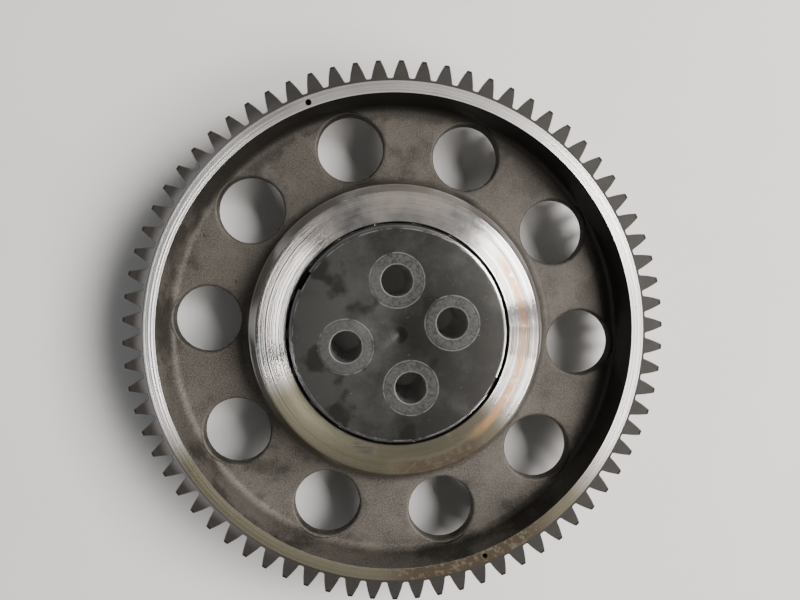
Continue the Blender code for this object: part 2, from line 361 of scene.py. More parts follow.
def ring_tree(name, materials):
    """Geometry Nodes that set copies of a shape round Z and weld them.

    The first material covers everything, and a second one covers the faces marked "end_face".
    """
    tree = bpy.data.node_groups.new(name, "GeometryNodeTree")
    tree.is_modifier = True
    tree.interface.new_socket("Shape", in_out="INPUT", socket_type="NodeSocketGeometry")
    tree.interface.new_socket("Copies", in_out="INPUT", socket_type="NodeSocketInt")
    tree.interface.new_socket("First Angle", in_out="INPUT", socket_type="NodeSocketFloat")
    tree.interface.new_socket("Weld Distance", in_out="INPUT", socket_type="NodeSocketFloat")
    tree.interface.new_socket("Ring", in_out="OUTPUT", socket_type="NodeSocketGeometry")

    def add(kind, settings=None, **inputs):
        node = tree.nodes.new(kind)
        for key, value in (settings or {}).items():
            setattr(node, key, value)
        for key, value in inputs.items():
            socket = node.inputs[key.replace("_", " ").title() if not key.isupper() else key]
            if isinstance(value, bpy.types.NodeSocket):
                tree.links.new(value, socket)
            else:
                socket.default_value = value
        return node

    entry = add("NodeGroupInput")
    points = add("GeometryNodeMeshLine", count=entry.outputs["Copies"])
    points.inputs["Offset"].default_value = (0.0, 0.0, 0.0)
    turn = add("ShaderNodeMath", {"operation": "DIVIDE"})
    turn.inputs[0].default_value = 2 * pi
    tree.links.new(entry.outputs["Copies"], turn.inputs[1])
    index = add("GeometryNodeInputIndex")
    angle = add("ShaderNodeMath", {"operation": "MULTIPLY_ADD"})
    tree.links.new(index.outputs[0], angle.inputs[0])
    tree.links.new(turn.outputs[0], angle.inputs[1])
    tree.links.new(entry.outputs["First Angle"], angle.inputs[2])
    spin = add("ShaderNodeCombineXYZ", Z=angle.outputs[0])
    copies = add("GeometryNodeInstanceOnPoints", points=points.outputs[0], instance=entry.outputs["Shape"])
    tree.links.new(spin.outputs[0], copies.inputs["Rotation"])
    real = add("GeometryNodeRealizeInstances", geometry=copies.outputs[0])
    last = add("GeometryNodeMergeByDistance", geometry=real.outputs[0],
               distance=entry.outputs["Weld Distance"])
    for position, material in enumerate(materials):
        last = add("GeometryNodeSetMaterial", geometry=last.outputs[0], material=material)
        if position:
            mark = add("GeometryNodeInputNamedAttribute", {"data_type": "BOOLEAN"}, name="end_face")
            tree.links.new(mark.outputs["Attribute"], last.inputs["Selection"])
    leave = add("NodeGroupOutput")
    tree.links.new(last.outputs[0], leave.inputs["Ring"])
    return tree


def ring_of(mesh, tree, copies, first_angle, weld):
    """Run a ring tree on a mesh and return the plain mesh that it makes."""
    maker = bpy.data.objects.new("maker", mesh)
    bpy.context.scene.collection.objects.link(maker)
    modifier = maker.modifiers.new("ring", "NODES")
    modifier.node_group = tree
    sizes = {"Copies": copies, "First Angle": first_angle, "Weld Distance": weld}
    for item in tree.interface.items_tree:
        if item.in_out == "INPUT" and item.name in sizes:
            modifier[item.identifier] = sizes[item.name]
    graph = bpy.context.evaluated_depsgraph_get()
    result = bpy.data.meshes.new_from_object(maker.evaluated_get(graph), depsgraph=graph)
    bpy.data.objects.remove(maker)
    return result


def rounded(corners):
    """Profile points and their finishes from (radius, height, fillet, finish) corners.

    The finish is that of the stretch that follows the corner, and a fillet of 0 keeps it sharp.
    """
    points = []
    for i, (radius, height, fillet, finish) in enumerate(corners):
        here = Vector((radius, height))
        if fillet == 0:
            points.append((here, finish))
            continue
        before = (Vector(corners[i - 1][:2]) - here).normalized()
        after = (Vector(corners[(i + 1) % len(corners)][:2]) - here).normalized()
        half = before.angle(after) / 2
        centre = here + (before + after).normalized() * (fillet / sin(half))
        start = here + before * (fillet / tan(half)) - centre
        end = here + after * (fillet / tan(half)) - centre
        begin_angle = atan2(start.y, start.x)
        sweep = (atan2(end.y, end.x) - begin_angle + pi) % (2 * pi) - pi
        steps = 8 if fillet > 2 * MM else 3
        for k in range(steps + 1):
            angle = begin_angle + sweep * k / steps
            points.append((centre + fillet * Vector((cos(angle), sin(angle))), finish))
    return points


def turned(bm, profile, segments, closed, first_angle=0.0):
    """Revolve (point, finish) pairs about Z into bm. An open profile starts and ends on the axis."""
    rings = []
    for point, finish in profile:
        count = segments if point.x > 1e-7 else 1
        ring = []
        for k in range(count):
            angle = first_angle + 2 * pi * k / segments
            ring.append(bm.verts.new((point.x * cos(angle), point.x * sin(angle), point.y)))
        rings.append(ring)
    pairs = list(zip(rings, rings[1:], profile))
    if closed:
        pairs.append((rings[-1], rings[0], profile[-1]))
    for here, after, (point, finish) in pairs:
        for k in range(segments):
            n = (k + 1) % segments
            near = (here[k % len(here)], here[n % len(here)])
            far = (after[n % len(after)], after[k % len(after)])
            face = bm.faces.new(list(dict.fromkeys(near + far)))
            face.material_index = finish
    return bm


def cut_holes(mesh, tools):
    """Return mesh with the shape of the tools taken away."""
    target = bpy.data.objects.new("target", mesh)
    cutter = bpy.data.objects.new("cutter", tools)
    for obj in (target, cutter):
        bpy.context.scene.collection.objects.link(obj)
    cut = target.modifiers.new("cut", "BOOLEAN")
    cut.operation = "DIFFERENCE"
    cut.solver = "EXACT"
    cut.object = cutter
    graph = bpy.context.evaluated_depsgraph_get()
    result = bpy.data.meshes.new_from_object(target.evaluated_get(graph), depsgraph=graph)
    bpy.data.objects.remove(target)
    bpy.data.objects.remove(cutter)
    return result


def mesh_of(bm, name, materials):
    """Finish a bmesh: weld it, turn its faces outwards and give it its materials."""
    bmesh.ops.remove_doubles(bm, verts=bm.verts, dist=0.001 * MM)
    bmesh.ops.recalc_face_normals(bm, faces=bm.faces)
    mesh = bpy.data.meshes.new(name)
    bm.to_mesh(mesh)
    bm.free()
    for material in materials:
        mesh.materials.append(material)
    return mesh


def show(name, mesh, body, nodes, sharp=radians(30)):
    """Make a finished mesh a piece that rides on a body and stands for CAD nodes."""
    mesh.shade_smooth()
    mesh.set_sharp_from_angle(angle=sharp)
    piece = bpy.data.objects.new(name, mesh)
    bpy.context.scene.collection.objects.link(piece)
    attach(piece, body)
    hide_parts(*nodes)
    return piece


def half_blank(rim, side):
    """Corners from the inner edge of the tooth faces inwards to the raceway.

    Side is 1 in front and -1 behind. The finish of each corner is that of the stretch between it
    and the next one inwards.
    """
    corners = [
        (seam_radius, rim - rim_step, 0, TOOTH_END),
        (rim_ring_radius, rim - rim_step, 0, TURNED),
        (rim_ring_radius, rim, 0.15 * MM, TURNED),
        (134.3 * MM, rim, 0.35 * MM, FORGED),
        (131.4 * MM, half_web, 5.0 * MM, FORGED),
        (88.0 * MM, half_web, 5.5 * MM, FORGED),
        (85.7 * MM, 10.3 * MM, 0.4 * MM, TURNED),
        (84.9 * MM, 11.2 * MM, 0.2 * MM, TURNED),
        (79.4 * MM, half_hub, 0.5 * MM, TURNED),
        (bore_lip_radius, half_hub, 0.4 * MM, RACE),
        (bore_lip_radius, raceway_outer_end, 0.15 * MM, RACE),
        (raceway_radius, raceway_outer_end, 0.3 * MM, RACE),
        (raceway_radius, raceway_inner_end, 0.3 * MM, RACE),
        (bore_lip_radius, raceway_inner_end, 0.15 * MM, RACE),
    ]
    return [(radius, middle_z + side * height, fillet, finish) for radius, height, fillet, finish in corners]


def gear_profile():
    """The whole blank, from the front tooth faces through the bore to the rear ones."""
    front = half_blank(rim_front, 1)
    rear = half_blank(-rim_rear, -1)
    finishes = [TOOTH_END] + [corner[3] for corner in rear[:-1]]
    turned_back = [(*corner[:3], finish) for corner, finish in zip(rear, finishes)]
    return rounded(front + turned_back[::-1])


lightening_circle = 110.3 * MM
lightening_radius = 19.3 * MM
lightening_count = 10
first_lightening_angle = radians(32.1)
hole_edge_round = 1.6 * MM
puller_circle = 137.6 * MM
puller_angles = (radians(111.2), radians(291.2))
puller_radius = 1.5 * MM
puller_depth = 8.0 * MM


def hole_tool(profile, places, sides, finish):
    """Closed cutters of a turned (radius, height) profile standing at (x, y) places."""
    bm = bmesh.new()
    for x, y in places:
        tool = bmesh.new()
        turned(tool, [(Vector(point), finish) for point in profile], sides, False)
        bmesh.ops.recalc_face_normals(tool, faces=tool.faces)
        bmesh.ops.translate(tool, verts=tool.verts, vec=(x, y, 0.0))
        part = bpy.data.meshes.new("tool")
        tool.to_mesh(part)
        tool.free()
        bm.from_mesh(part)
        bpy.data.meshes.remove(part)
    return bm


def lightening_tool():
    """Profile of a hole through the web whose edges flare by a small round at each face."""
    reach = 12 * MM
    flare = []
    for k in range(5):
        angle = pi - k * pi / 8
        flare.append((lightening_radius + hole_edge_round * (1 + cos(angle)),
                      half_web - hole_edge_round * (1 - sin(angle))))
    upper = flare + [(lightening_radius + hole_edge_round, reach), (0.0, reach)]
    lower = [(radius, -height) for radius, height in reversed(upper)]
    return [(radius, height + middle_z) for radius, height in lower + upper]


def puller_tool():
    """Profile of a small blind hole in the rim's face, with a drill-point bottom."""
    face_z = middle_z + rim_front
    bottom_z = face_z - puller_depth
    above_z = face_z + 2 * MM
    mouth_radius = puller_radius + 0.3 * MM
    return [(0.0, bottom_z - 0.6 * puller_radius), (puller_radius, bottom_z),
            (puller_radius, face_z - 0.25 * MM), (mouth_radius, face_z + 0.05 * MM),
            (mouth_radius, above_z), (0.0, above_z)]


def lathe_normal(finish, pitch, slope):
    """Normal of a turned face, whose grooves lean it in and out by up to slope, and the radius."""
    radius = finish.radius()
    depth = finish.rings(radius, 4.3 * pitch, 2.0)
    wave = finish.node("ShaderNodeMath", {"operation": "SINE"}, {0: radius * (2 * pi / pitch) + depth * 9.0})
    lean = wave * finish.ramp(depth, 0.12, 0.68) * slope
    tip = finish.node("ShaderNodeVectorMath", {"operation": "SCALE"}, {0: finish.outward(), "Scale": lean})
    to_world = {"vector_type": "VECTOR", "convert_from": "OBJECT", "convert_to": "WORLD"}
    tip_world = finish.node("ShaderNodeVectorTransform", to_world, {0: tip})
    normal = finish.node("ShaderNodeNewGeometry", output="Normal")
    leaning = finish.node("ShaderNodeVectorMath", {"operation": "ADD"}, {0: normal, 1: tip_world})
    return finish.node("ShaderNodeVectorMath", {"operation": "NORMALIZE"}, {0: leaning}), radius


def sector(finish, angle, half_width, soft):
    """1 within half_width of a direction seen from the axis, fading over soft radians."""
    facing = finish.node("ShaderNodeVectorMath", {"operation": "DOT_PRODUCT"},
                         {0: finish.outward(), 1: (cos(angle), sin(angle), 0.0)}, output=1)
    return finish.ramp(facing, cos(min(pi, half_width + soft)), cos(max(0.0, half_width - soft)))


def turned_finish():
    """Bright lathe-turned steel with oil that has dried brown along the bottom and one arc, and painted
    highlight and shade in some sectors.
    """
    finish = Finish("turned_steel")
    normal, radius = lathe_normal(finish, 0.19 * MM, 0.52)
    wash = finish.noise(34 * MM, detail=4.0, rough=0.6)
    fleck = finish.noise(3.2 * MM, detail=4.0, rough=0.65)
    rings = finish.rings(radius, 1.1 * MM, 4.0)
    steel = finish.mix(finish.ramp(rings, 0.3, 0.7), (0.54, 0.525, 0.505), (0.74, 0.725, 0.71))
    # Brown tint over the top sector: partly a stain, partly painted shade that darkens the turned faces
    # where they reflect less window light.
    brown_stain_and_shade = sector(finish, radians(92), radians(46), radians(24)) * finish.ramp(wash, 0.25, 0.7) \
        * (1.0 - finish.ramp(radius, 130 * MM, 134 * MM) * 0.6)
    steel = finish.mix(brown_stain_and_shade * 0.75, steel, (0.40, 0.345, 0.285))
    oil = sector(finish, radians(-98), radians(63), radians(11)) * finish.ramp(wash, 0.05, 0.38)
    steel = finish.mix(oil * 0.93, steel, (0.072, 0.065, 0.030))
    band = 1.0 - finish.ramp(abs(radius - 71.0 * MM + (wash - 0.5) * (5 * MM)), 0.7 * MM, 4.0 * MM)
    arc = band * sector(finish, radians(-6), radians(44), radians(10)) * finish.ramp(fleck, 0.2, 0.5)
    steel = finish.mix(arc * 0.85, steel, (0.40, 0.215, 0.095))
    # Painted highlight: the rim face is painted near-white over a sector on the left, standing in for the
    # window reflection seen there.
    bright = finish.ramp(radius, 130 * MM, 134 * MM) * sector(finish, radians(165), radians(34), radians(14))
    steel = finish.mix(bright * 0.8, steel, (0.95, 0.945, 0.935))
    hub_side = 1.0 - finish.ramp(radius, 82 * MM, 86 * MM)
    # Painted shade: a narrow sector of the hub face, towards the gap between the two windows, is painted
    # darker, standing in for the dark reflection of that gap.
    painted_gap_shade = sector(finish, radians(-4), radians(7), radians(1.5)) * hub_side
    steel = finish.mix(painted_gap_shade * 0.6, steel, (0.20, 0.165, 0.135))
    outer = finish.ramp(radius + (wash - 0.5) * (7 * MM), 69 * MM, 74 * MM)
    blot = outer * sector(finish, radians(-72), radians(19), radians(7)) * finish.ramp(fleck, 0.32, 0.52)
    steel = finish.mix(blot * 0.9, steel, (0.034, 0.020, 0.007))
    inner = 1.0 - finish.ramp(abs(radius - 67.5 * MM), 2.0 * MM, 4.0 * MM)
    drawn_out = finish.scaled(0.07, 1.0, 1.0)
    dashes = finish.ramp(finish.noise(0.8 * MM, detail=3.0, at=drawn_out), 0.44, 0.52)
    rub_marks_and_painted_sheen = inner * dashes * sector(finish, radians(-107), radians(5), radians(2.5))
    steel = finish.mix(rub_marks_and_painted_sheen * 0.9, steel, (0.025, 0.024, 0.018))
    specks = finish.ramp(finish.noise(1.7 * MM, detail=2.0), 0.70, 0.74)
    dirt = specks * sector(finish, radians(-60), radians(75), radians(20))
    steel = finish.mix(dirt * 0.85, steel, (0.04, 0.032, 0.02))
    stain = finish.node("ShaderNodeMath", {"operation": "MAXIMUM"}, {0: blot, 1: rub_marks_and_painted_sheen + dirt})
    finish.feed("Base Color", steel)
    finish.feed("Metallic", 1.0 - oil * 0.35 - stain * 0.5 - arc * 0.15 - brown_stain_and_shade * 0.3)
    finish.feed("Roughness", 0.09 + oil * 0.22 + brown_stain_and_shade * 0.10 + rings * 0.07 + stain * 0.3
                + finish.ramp(radius, 79.4 * MM, 80.2 * MM) * 0.20)
    finish.feed("Normal", normal)
    return finish.material


def forged_finish():
    """Shot-blasted forging scale: brown-grey, finely pitted, darker where oil has soaked in, with painted
    shade towards the rim wall and in the upper-right sector.
    """
    finish = Finish("blasted_forging", metallic=0.45)
    finish.shader.inputs["Specular IOR Level"].default_value = 0.2
    patch = finish.noise(30 * MM, detail=5.0, rough=0.6)
    grain = finish.noise(0.9 * MM, detail=3.0, rough=0.6)
    pits = finish.noise(2.6 * MM, detail=2.0)
    colour = finish.mix(finish.ramp(patch, 0.3, 0.7), (0.056, 0.051, 0.043), (0.104, 0.095, 0.081))
    colour = finish.mix(finish.ramp(grain, 0.35, 0.75) * 0.65, colour, (0.175, 0.160, 0.140))
    colour = finish.mix(finish.ramp(pits, 0.62, 0.75) * 0.5, colour, (0.05, 0.043, 0.038))
    radius = finish.radius()
    soak = finish.noise(24 * MM, detail=4.0, rough=0.6)
    # Painted shade: the upper-right sector, where the light from the upper right leaves the rim's inner wall
    # in shade, is painted darker, and so is the foot of the wall.
    shaded = sector(finish, radians(52), radians(88), radians(40))
    painted_wall_foot_shade = finish.ramp(radius, 118 * MM, 131 * MM) * (0.25 + shaded * 0.75)
    # The oil mask is partly real oil soak and partly painted shade near the rim wall and in the upper-right
    # sector.
    oil = finish.ramp(soak + painted_wall_foot_shade * 0.3 + shaded * 0.06, 0.54, 0.72)
    colour = finish.mix(oil * 0.6, colour, (0.022, 0.020, 0.0165))
    wall = finish.ramp(radius, 127 * MM, 131 * MM)
    # Painted shade: the upper-right sector is painted near-black, most strongly on the rim's inner wall.
    colour = finish.mix(shaded * (0.3 + wall * 0.6), colour, (0.012, 0.011, 0.009))
    spill = finish.ramp(finish.noise(9 * MM, detail=5.0, rough=0.7), 0.66, 0.72)
    colour = finish.mix(spill * 0.8, colour, (0.012, 0.011, 0.009))
    finish.feed("Base Color", colour)
    finish.feed("Roughness", 0.56 + grain * 0.16 - oil * 0.14)
    finish.feed("Normal", finish.bump(grain * 0.6 + pits * 0.4, 0.28 * MM))
    return finish.material


def tooth_end_finish():
    """Ends of the teeth: machined, then darkened by hardening."""
    finish = Finish("hardened_tooth_ends", metallic=0.45)
    finish.shader.inputs["Specular IOR Level"].default_value = 0.2
    patch = finish.noise(8 * MM, detail=4.0)
    grain = finish.noise(0.6 * MM, detail=2.0)
    colour = finish.mix(patch, (0.026, 0.0245, 0.0225), (0.042, 0.040, 0.037))
    colour = finish.mix(finish.ramp(grain, 0.55, 0.8) * 0.4, colour, (0.10, 0.095, 0.09))
    radius = finish.radius()
    # Painted highlight: the ends of the left-hand teeth are painted lighter towards the root, standing in
    # for the reflection of the light there.
    rub_marks_and_painted_sheen = (1.0 - finish.ramp(radius + patch * (3 * MM), 143 * MM, 149 * MM)) \
        * sector(finish, radians(180), radians(45), radians(25))
    colour = finish.mix(rub_marks_and_painted_sheen * 0.55, colour, (0.20, 0.195, 0.195))
    # Painted shade: a near-black band round the tooth tips stands in for the dark edge that the tip chamfers
    # show.
    colour = finish.mix(finish.ramp(radius, 151.0 * MM, 151.7 * MM) * 0.9, colour, (0.007, 0.0065, 0.006))
    finish.feed("Base Color", colour)
    finish.feed("Roughness", 0.52 + grain * 0.14)
    finish.feed("Normal", finish.bump(grain, 0.04 * MM))
    return finish.material


def ground_finish():
    """Tooth flanks: ground steel with a polished contact band, darker towards the root."""
    finish = Finish("ground_flanks", metallic=0.95)
    height = finish.coordinate(2) - middle_z
    radius = finish.radius()
    streak = finish.noise(0.5 * MM, detail=3.0, at=finish.scaled(1.0, 1.0, 0.12))
    patch = finish.noise(12 * MM, detail=3.0)
    worn = (1.0 - finish.ramp(abs(height) + patch * (5 * MM), 20 * MM, 25 * MM)) \
        * finish.ramp(radius, 143.8 * MM, 145.2 * MM)
    colour = finish.mix(patch, (0.20, 0.18, 0.165), (0.28, 0.255, 0.235))
    colour = finish.mix(worn * (0.55 + streak * 0.4), colour, (0.52, 0.50, 0.475))
    root = 1.0 - finish.ramp(radius, 141.9 * MM, 143.6 * MM)
    colour = finish.mix(root * 0.6, colour, (0.075, 0.062, 0.05))
    finish.feed("Base Color", colour)
    finish.feed("Roughness", 0.42 - worn * 0.18 + streak * 0.08)
    finish.feed("Normal", finish.bump(streak, 0.012 * MM))
    return finish.material


def race_finish():
    """Ground and lapped bore of the hub, with a thin oil film."""
    finish = Finish("ground_bore")
    film = finish.noise(14 * MM, detail=3.0)
    height = finish.coordinate(2) - middle_z
    grime = finish.ramp(abs(height), 22.8 * MM, 23.4 * MM)
    steel = finish.mix(film, (0.46, 0.44, 0.40), (0.62, 0.60, 0.57))
    finish.feed("Base Color", finish.mix(grime, steel, (0.012, 0.011, 0.009)))
    finish.feed("Metallic", 1.0 - grime * 0.8)
    finish.feed("Roughness", 0.16 + film * 0.12 + grime * 0.35)
    return finish.material


def gear_mesh():
    materials = [ground_finish(), tooth_end_finish(), turned_finish(), forged_finish(), race_finish()]
    teeth_tree = ring_tree("ring_of_teeth", materials[:2])
    band = ring_of(tooth_sector(), teeth_tree, teeth, first_tooth_angle, seam_weld)

    blank = bmesh.new()
    temporary = len(materials)
    profile = gear_profile()
    profile[-1] = (profile[-1][0], temporary)
    first = first_tooth_angle - pi / teeth
    turned(blank, profile, teeth * seam_steps, True, first)
    solid = mesh_of(blank, "blank", materials + [None])

    angles = [first_lightening_angle + 2 * pi * k / lightening_count for k in range(lightening_count)]
    places = [(lightening_circle * cos(a), lightening_circle * sin(a)) for a in angles]
    tools = hole_tool(lightening_tool(), places, 96, FORGED)
    puller_places = [(puller_circle * cos(a), puller_circle * sin(a)) for a in puller_angles]
    small = hole_tool(puller_tool(), puller_places, 24, FORGED)
    spare = bpy.data.meshes.new("spare")
    small.to_mesh(spare)
    small.free()
    tools.from_mesh(spare)
    cutter = bpy.data.meshes.new("cutter")
    tools.to_mesh(cutter)
    tools.free()
    for material in materials + [None]:
        cutter.materials.append(material)
    pierced = cut_holes(solid, cutter)

    whole = bmesh.new()
    whole.from_mesh(pierced)
    seam_wall = [f for f in whole.faces if f.material_index == temporary]
    bmesh.ops.delete(whole, geom=seam_wall, context="FACES_ONLY")
    for face in band.polygons:
        face.material_index = materials.index(band.materials[face.material_index])
    whole.from_mesh(band)
    return mesh_of(whole, "gear", materials)


show("gear", gear_mesh(), "gear", ["gear_wheel"])

# ---- Journal ------------------------------------------------------------------------------------
# The fixed pin that the gear turns on: a front disc and a rear flange, each with a short spigot, of
# dark phosphated steel. Four bolt holes run through both, and they clamp the inner rings.

spigot_radius = 45.7 * MM
disc_radius = 58.85 * MM
disc_edge = 0.8 * MM
parting_z = 33.5 * MM
parting_gap = 0.15 * MM
bolt_circle = 30.0 * MM
bolt_hole_radius = 8.75 * MM
bolt_angles = [radians(12.3 + turn) for turn in (0, 80, 180, 270)]
bolt_places = [(bolt_circle * cos(a), bolt_circle * sin(a)) for a in bolt_angles]
seat_radius = 15.2 * MM


def phosphate_finish():
    """Dark phosphated steel with bright-edged washer seats, oil smears and faint turning rings."""
    finish = Finish("phosphated_steel")
    finish.shader.inputs["Specular IOR Level"].default_value = 0.2
    normal, radius = lathe_normal(finish, 0.45 * MM, 0.07)
    flat = finish.scaled(1.0, 1.0, 0.0)
    nearest = None
    for x, y in bolt_places:
        reach = finish.node("ShaderNodeVectorMath", {"operation": "DISTANCE"},
                            {0: flat, 1: (x, y, 0.0)}, output=1)
        nearest = reach if nearest is None else nearest.math("MINIMUM", nearest, reach)
    cloud = finish.noise(16 * MM, detail=5.0, rough=0.65) * 0.7 \
        + (1.0 - finish.ramp(finish.coordinate(0), -45 * MM, 15 * MM)) * 0.35
    smear = finish.noise(5 * MM, detail=4.0, rough=0.6)
    grain = finish.noise(0.5 * MM, detail=2.0)
    fine = finish.noise(1.6 * MM, detail=3.0, rough=0.7)
    colour = finish.mix(finish.ramp(cloud, 0.3, 0.7), (0.020, 0.020, 0.018), (0.056, 0.056, 0.053))
    wobble = (smear - 0.5) * (0.9 * MM)
    seat = 1.0 - finish.ramp(nearest + wobble, seat_radius - 1.3 * MM, seat_radius)
    rub = seat * finish.ramp(fine, 0.30, 0.62)
    colour = finish.mix(seat * 0.10 + rub * 0.42, colour, (0.115, 0.115, 0.111))
    line = 1.0 - finish.ramp(abs(nearest - seat_radius), 0.12 * MM, 0.55 * MM)
    colour = finish.mix(line * finish.ramp(smear, 0.3, 0.55) * 0.5, colour, (0.21, 0.21, 0.20))
    edge = 1.0 - finish.ramp(abs(nearest - bolt_hole_radius), 0.2 * MM, 0.8 * MM)
    colour = finish.mix(edge * 0.6, colour, (0.36, 0.36, 0.35))
    wall = 1.0 - finish.ramp(nearest, bolt_hole_radius, bolt_hole_radius + 0.25 * MM)
    colour = finish.mix(wall * 0.9, colour, (0.66, 0.655, 0.64))
    oil = finish.ramp(finish.noise(22 * MM, detail=3.0), 0.52, 0.62) * (1.0 - seat)
    colour = finish.mix(oil * 0.65, colour, (0.018, 0.0175, 0.015))
    drawn_out = finish.scaled(0.25, 1.0, 1.0)
    scratch = finish.ramp(finish.noise(0.9 * MM, detail=2.0, at=drawn_out), 0.70, 0.78)
    colour = finish.mix(scratch * 0.4, colour, (0.20, 0.20, 0.195))
    # Painted highlight: the top of the disc's outer edge is painted lighter, in patches set by the smear
    # noise.
    top_edge = finish.ramp(finish.coordinate(2), 65.2 * MM, 65.8 * MM)
    rim = finish.ramp(radius, 57.9 * MM, 58.3 * MM) * top_edge * finish.ramp(smear, 0.35, 0.6)
    colour = finish.mix(rim * 0.5, colour, (0.30, 0.30, 0.29))
    # Painted shade: the centre dimple and a ring round it are painted darker.
    dimple = 1.0 - finish.ramp(radius, 3.2 * MM, 6.5 * MM)
    colour = finish.mix(dimple * 0.6, colour, (0.020, 0.020, 0.018))
    finish.feed("Base Color", colour)
    finish.feed("Metallic", 0.5 + wall * 0.45)
    finish.feed("Roughness", 0.40 + fine * 0.16 - oil * 0.12 - wall * 0.14)
    finish.feed("Normal", finish.bump(grain + fine, 0.03 * MM, normal))
    return finish.material


def journal_half(name, top_disc, outer_z, inner_z, dimple):
    """One half: a disc from outer_z to inner_z and a spigot from there to the parting plane."""
    side = 1 if top_disc else -1
    end_z = parting_z + side * parting_gap
    corners = [
        (disc_radius, outer_z, disc_edge * 0.8, 0),
        (disc_radius, inner_z, 0.25 * MM, 0),
        (spigot_radius, inner_z, 0.2 * MM, 0),
        (spigot_radius, end_z, 0.4 * MM, 0),
    ]
    middle = [(0.0, 0.0)]
    if dimple:
        middle = [(0.0, -0.62 * dimple), (0.3 * dimple, -0.56 * dimple), (dimple, -0.12 * MM),
                  (dimple + 0.4 * MM, 0.0)]
    face = [(Vector((radius, outer_z + depth)), 0) for radius, depth in middle]
    rest = rounded([(0.001 * MM, outer_z, 0, 0)] + corners + [(0.001 * MM, end_z, 0, 0)])[1:-1]
    bm = turned(bmesh.new(), face + rest + [(Vector((0.0, end_z)), 0)], 192, False)
    solid = mesh_of(bm, name, [dark_steel])
    low, high = sorted((outer_z, end_z))
    bottom, top = low - 2 * MM, high + 2 * MM
    widen = 0.45 * MM
    mouth_radius = bolt_hole_radius + 1.5 * widen
    if top_disc:
        bore = [(0.0, bottom), (bolt_hole_radius, bottom), (bolt_hole_radius, outer_z - widen),
                (mouth_radius, outer_z + widen / 2), (mouth_radius, top), (0.0, top)]
    else:
        bore = [(0.0, bottom), (mouth_radius, bottom), (mouth_radius, outer_z - widen / 2),
                (bolt_hole_radius, outer_z + widen), (bolt_hole_radius, top), (0.0, top)]
    tools = hole_tool(bore, bolt_places, 64, 0)
    return cut_holes(solid, mesh_of(tools, name + "_bores", [dark_steel]))


dark_steel = phosphate_finish()
front_face_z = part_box("journal_front")[1].z
rear_face_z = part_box("journal_rear")[0].z
disc_under_z = middle_z + half_hub + 0.3 * MM
flange_top_z = middle_z - half_hub - 0.3 * MM
front_mesh = journal_half("journal_front_half", True, front_face_z, disc_under_z, 4.4 * MM)
rear_mesh = journal_half("journal_rear_half", False, rear_face_z, flange_top_z, 0.0)
show("journal_front_half", front_mesh, "journal", ["journal_front"])
show("journal_rear_half", rear_mesh, "journal", ["journal_rear"])

# ---- Inner rings --------------------------------------------------------------------------------
# Two hardened and ground rings on the spigots carry the rollers. Each has a rib at its outer end
# with two notches cut in it, opposite each other.

ring_bore = 46.0 * MM
inner_race = 54.0 * MM
rib_radius = 61.0 * MM
rib_width = 2.5 * MM
notch_floor = 56.5 * MM
notch_width = 11.2 * MM
notch_angles = (radians(150.3), radians(330.3))


def ground_ring_finish():
    """Ground bearing steel with fine rings and a thin uneven oil film."""
    finish = Finish("ground_ring", metallic=1.0)
    normal, radius = lathe_normal(finish, 0.15 * MM, 0.52)
    film = finish.noise(9 * MM, detail=3.0)
    finish.feed("Base Color", finish.mix(film, (0.70, 0.69, 0.67), (0.80, 0.79, 0.77)))
    finish.feed("Roughness", 0.12 + film * 0.12)
    finish.feed("Normal", normal)
    return finish.material


def inner_ring_mesh(name, side):
    """Ring of one row, its notched rib at the outer end. side is 1 in front and -1 behind."""
    near, rib, end = [middle_z + side * height for height in (0.15 * MM, half_hub - rib_width, half_hub)]
    corners = [
        (ring_bore, near, 0.4 * MM, 0),
        (inner_race, near, 0.4 * MM, 0),
        (inner_race, rib, 0.3 * MM, 0),
        (rib_radius, rib, 0.2 * MM, 0),
        (rib_radius, end, 0.3 * MM, 0),
        (ring_bore, end, 0.5 * MM, 0),
    ]
    solid = mesh_of(turned(bmesh.new(), rounded(corners), 192, True), name, [ring_steel])
    tools = bmesh.new()
    reach = 2 * (rib_radius - notch_floor)
    for angle in notch_angles:
        notch = bmesh.ops.create_cube(tools, size=1.0)["verts"]
        bmesh.ops.scale(tools, verts=notch, vec=(reach, notch_width, 4 * rib_width))
        bmesh.ops.translate(tools, verts=notch, vec=(notch_floor + reach / 2, 0.0, end))
        bmesh.ops.rotate(tools, verts=notch, cent=(0.0, 0.0, 0.0), matrix=Matrix.Rotation(angle, 3, "Z"))
    return cut_holes(solid, mesh_of(tools, name + "_notches", [ring_steel]))


ring_steel = ground_ring_finish()
front_ring_mesh = inner_ring_mesh("front_inner_ring", 1)
rear_ring_mesh = inner_ring_mesh("rear_inner_ring", -1)
show("front_inner_ring", front_ring_mesh, "journal", ["inner_ring_front"])
show("rear_inner_ring", rear_ring_mesh, "journal", ["inner_ring_rear"])

# ---- Cages --------------------------------------------------------------------------------------
# Each row's rollers are spaced by a cage machined from one steel ring: two side rims and a bar
# between each two rollers, with rounded pocket corners.

roller_count = 18
cage_inner = 57.0 * MM
cage_outer = 62.0 * MM
cage_levels = [0.25 * MM, 1.9 * MM, 23.6 * MM, 25.25 * MM]
bar_half_angle = radians(3.3)


def cage_finish():
    """Machined steel darkened by oil, with a fine lighter speckle."""
    finish = Finish("cage_steel")
    film = finish.noise(6 * MM, detail=3.0)
    grain = finish.noise(0.4 * MM, detail=2.0)
    colour = finish.mix(film, (0.16, 0.15, 0.125), (0.30, 0.285, 0.255))
    colour = finish.mix(finish.ramp(grain, 0.55, 0.75) * 0.4, colour, (0.50, 0.48, 0.45))
    height = finish.coordinate(2) - middle_z
    grime = finish.ramp(abs(height), 23.8 * MM, 24.6 * MM)
    finish.feed("Base Color", finish.mix(grime, colour, (0.012, 0.011, 0.009)))
    finish.feed("Metallic", 0.9 - grime * 0.7)
    finish.feed("Roughness", 0.28 + film * 0.14 + grime * 0.25)
    finish.feed("Normal", finish.bump(grain, 0.02 * MM))
    return finish.material


